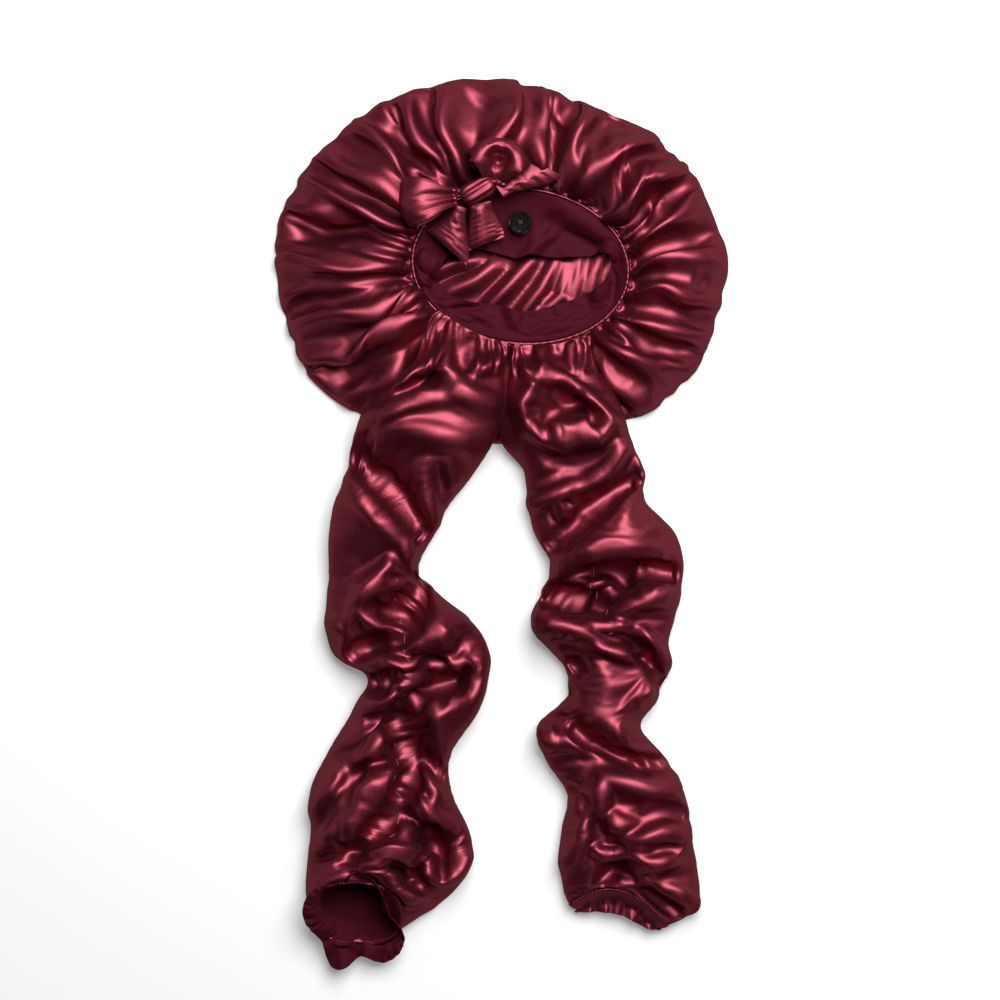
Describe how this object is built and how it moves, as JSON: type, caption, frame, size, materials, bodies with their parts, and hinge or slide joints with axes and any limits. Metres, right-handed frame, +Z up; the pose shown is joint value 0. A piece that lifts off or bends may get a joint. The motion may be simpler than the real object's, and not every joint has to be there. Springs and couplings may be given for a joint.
{
  "type": "sleep bonnet",
  "caption": "Burgundy satin sleep bonnet laid flat: a gathered disc crown with an elastic head opening, a tie bow, an inside button and long ruched braid sleeves with frilled cuffs.",
  "frame": {"origin": "middle of the underside of the whole bonnet as it lies on a table", "axes": "+Y from the cuffs towards the top of the crown, +Z up off the table, +X to the right with the head opening facing up"},
  "size_m": [0.364, 0.711, 0.0577],
  "materials": {
    "satin": "glossy satin weave",
    "band_cloth": "matte, the satin's dull back",
    "button_resin": "polished",
    "thread": "matte cotton"
  },
  "bodies": {
    "root": {"crown": "satin", "elastic_rim": "satin", "inner_band": "band_cloth", "button": "button_resin", "button_thread": "thread", "left_sleeve": "satin", "right_sleeve": "satin", "left_cuff": "satin", "right_cuff": "satin", "bow_knot": "satin", "bow_left_loop": "satin", "bow_right_loop": "satin", "bow_left_tail": "satin", "bow_middle_tail": "satin", "bow_right_tail": "satin"}
  },
  "joints": []
}
